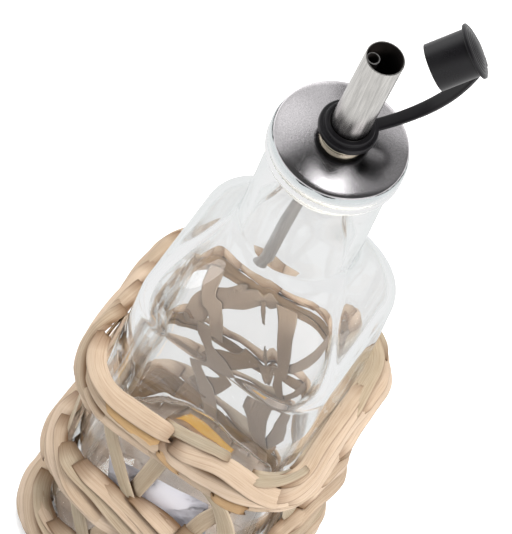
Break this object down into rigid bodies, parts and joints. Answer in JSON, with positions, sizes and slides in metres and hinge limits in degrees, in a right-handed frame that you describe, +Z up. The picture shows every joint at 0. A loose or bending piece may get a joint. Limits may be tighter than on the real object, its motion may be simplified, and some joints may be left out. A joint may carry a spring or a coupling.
{
  "type": "glass oil bottle with pouring spout in a woven jacket",
  "caption": "Empty square clear glass bottle with a steel pouring spout, an open strapped cap and an open jacket of woven leaf strips.",
  "frame": {"origin": "on the table under the middle of the base", "axes": "+Z up along the bottle, -Y out of the labelled front face, +X to the right of that face"},
  "size_m": [0.0784, 0.0784, 0.2649],
  "materials": {
    "clear_glass": "clear, glossy",
    "milky_plastic": "translucent, soft sheen",
    "polished_steel": "pressed and polished, fine scratches",
    "collar_steel": "turned ridges, slightly warm",
    "spout_steel": "drawn tube, satin",
    "black_plastic": "moulded, soft gloss",
    "label_paper": "plain paper, matt",
    "leaf_strip": "dried leaf, smooth outside, fibrous inside"
  },
  "bodies": {
    "root": {"air_tube": "spout_steel", "base_mat": "leaf_strip", "bottom_band": "leaf_strip", "closure": "black_plastic", "collar": "collar_steel", "cover_plate": "polished_steel", "glass_bottle": "clear_glass", "label": "label_paper", "middle_band": "leaf_strip", "spout_tube": "spout_steel", "stake_back_lower_1": "leaf_strip", "stake_back_lower_2": "leaf_strip", "stake_back_lower_3": "leaf_strip", "stake_back_lower_4": "leaf_strip", "stake_back_upper_1": "leaf_strip", "stake_back_upper_2": "leaf_strip", "stake_back_upper_3": "leaf_strip", "stake_back_upper_4": "leaf_strip", "stake_front_lower_1": "leaf_strip", "stake_front_lower_2": "leaf_strip", "stake_front_lower_3": "leaf_strip", "stake_front_lower_4": "leaf_strip", "stake_front_upper_1": "leaf_strip", "stake_front_upper_2": "leaf_strip", "stake_front_upper_3": "leaf_strip", "stake_front_upper_4": "leaf_strip", "stake_left_lower_1": "leaf_strip", "stake_left_lower_2": "leaf_strip", "stake_left_lower_3": "leaf_strip", "stake_left_lower_4": "leaf_strip", "stake_left_upper_1": "leaf_strip", "stake_left_upper_2": "leaf_strip", "stake_left_upper_3": "leaf_strip", "stake_left_upper_4": "leaf_strip", "stake_right_lower_1": "leaf_strip", "stake_right_lower_2": "leaf_strip", "stake_right_lower_3": "leaf_strip", "stake_right_lower_4": "leaf_strip", "stake_right_upper_1": "leaf_strip", "stake_right_upper_2": "leaf_strip", "stake_right_upper_3": "leaf_strip", "stake_right_upper_4": "leaf_strip", "stopper": "milky_plastic", "top_band": "leaf_strip"}
  },
  "joints": []
}
